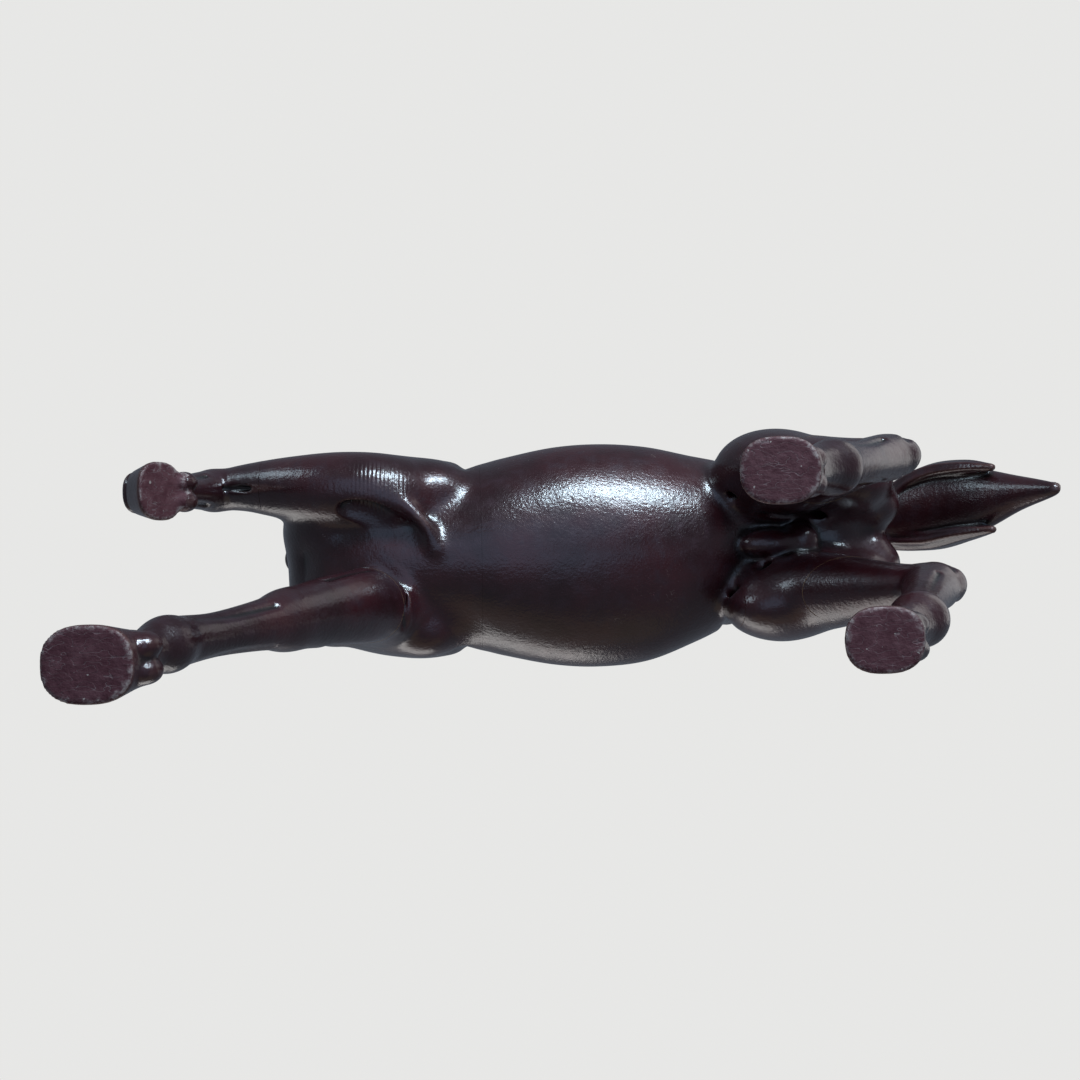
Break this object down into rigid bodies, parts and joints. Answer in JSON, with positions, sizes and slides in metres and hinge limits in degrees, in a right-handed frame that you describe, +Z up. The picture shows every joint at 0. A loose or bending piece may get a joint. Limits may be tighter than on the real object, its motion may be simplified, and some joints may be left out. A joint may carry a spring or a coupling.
{
  "type": "horse statuette",
  "caption": "Standing horse statuette in patinated bronze with one raised forefoot, cast in sections and pinned, resting on flat hoof soles.",
  "frame": {"origin": "centre of the bounding box's bottom, on the surface that the three planted soles stand on", "axes": "+X forwards, from tail to chest; +Y to the horse's left; +Z up"},
  "size_m": [0.2244, 0.0586, 0.2197],
  "materials": {
    "patinated_bronze": "dark red-brown patina under clear gloss lacquer, worn pale along the soles' rims",
    "bare_bronze": "unpatinated drawn bronze, hidden inside the joints"
  },
  "bodies": {
    "root": {"barrel_casting": "patinated_bronze", "forequarter_casting": "patinated_bronze", "hindquarter_casting": "patinated_bronze", "neck_casting": "patinated_bronze", "head_casting": "patinated_bronze", "tail_casting": "patinated_bronze", "right_foreleg_casting": "patinated_bronze", "left_foreleg_casting": "patinated_bronze", "right_hindleg_casting": "patinated_bronze", "left_hindleg_casting": "patinated_bronze", "front_sleeve": "bare_bronze", "rear_sleeve": "bare_bronze", "right_fore_dowel": "bare_bronze", "left_fore_dowel": "bare_bronze", "right_hind_dowel": "bare_bronze", "left_hind_dowel": "bare_bronze", "tail_dowel": "bare_bronze", "head_dowel": "bare_bronze", "left_neck_pin": "bare_bronze", "right_neck_pin": "bare_bronze"}
  },
  "joints": []
}
